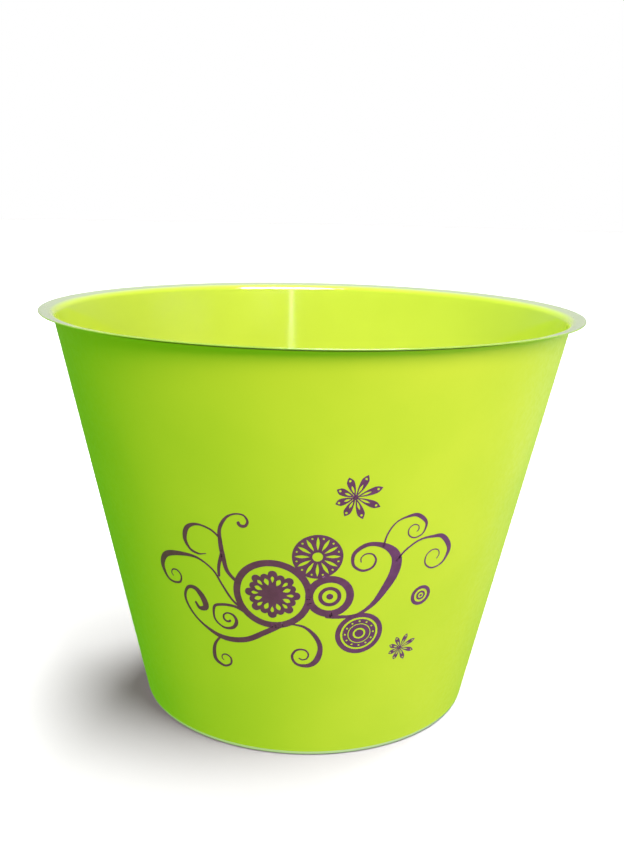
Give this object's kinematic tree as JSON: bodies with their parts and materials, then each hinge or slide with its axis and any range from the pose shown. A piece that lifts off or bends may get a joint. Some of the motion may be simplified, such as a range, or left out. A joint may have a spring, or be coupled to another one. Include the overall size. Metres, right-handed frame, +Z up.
{
  "type": "florist bucket",
  "caption": "Tapered round thin-walled plastic bucket with a flared lip, a coloured film round its wall and a printed scroll ornament on its front.",
  "frame": {"origin": "centre of the foot ring, on the surface that the bucket stands on", "axes": "+Z up along the bucket's axis, -Y towards the front, where the ornament is printed"},
  "size_m": [0.25, 0.25, 0.1865],
  "materials": {
    "lime_plastic": "high gloss",
    "green_film": "satin",
    "purple_ink": "satin"
  },
  "bodies": {
    "root": {"bucket_shell": "lime_plastic", "wall_label": "green_film", "print_scrollwork": "purple_ink", "print_rosette": "purple_ink", "print_target_ring": "purple_ink", "print_target_dot": "purple_ink", "print_medallion_band": "purple_ink", "print_medallion_ring": "purple_ink", "print_medallion_dot": "purple_ink", "print_oval_rim": "purple_ink", "print_oval_ring": "purple_ink", "print_oval_dot": "purple_ink", "print_large_flower": "purple_ink", "print_small_flower": "purple_ink"}
  },
  "joints": []
}
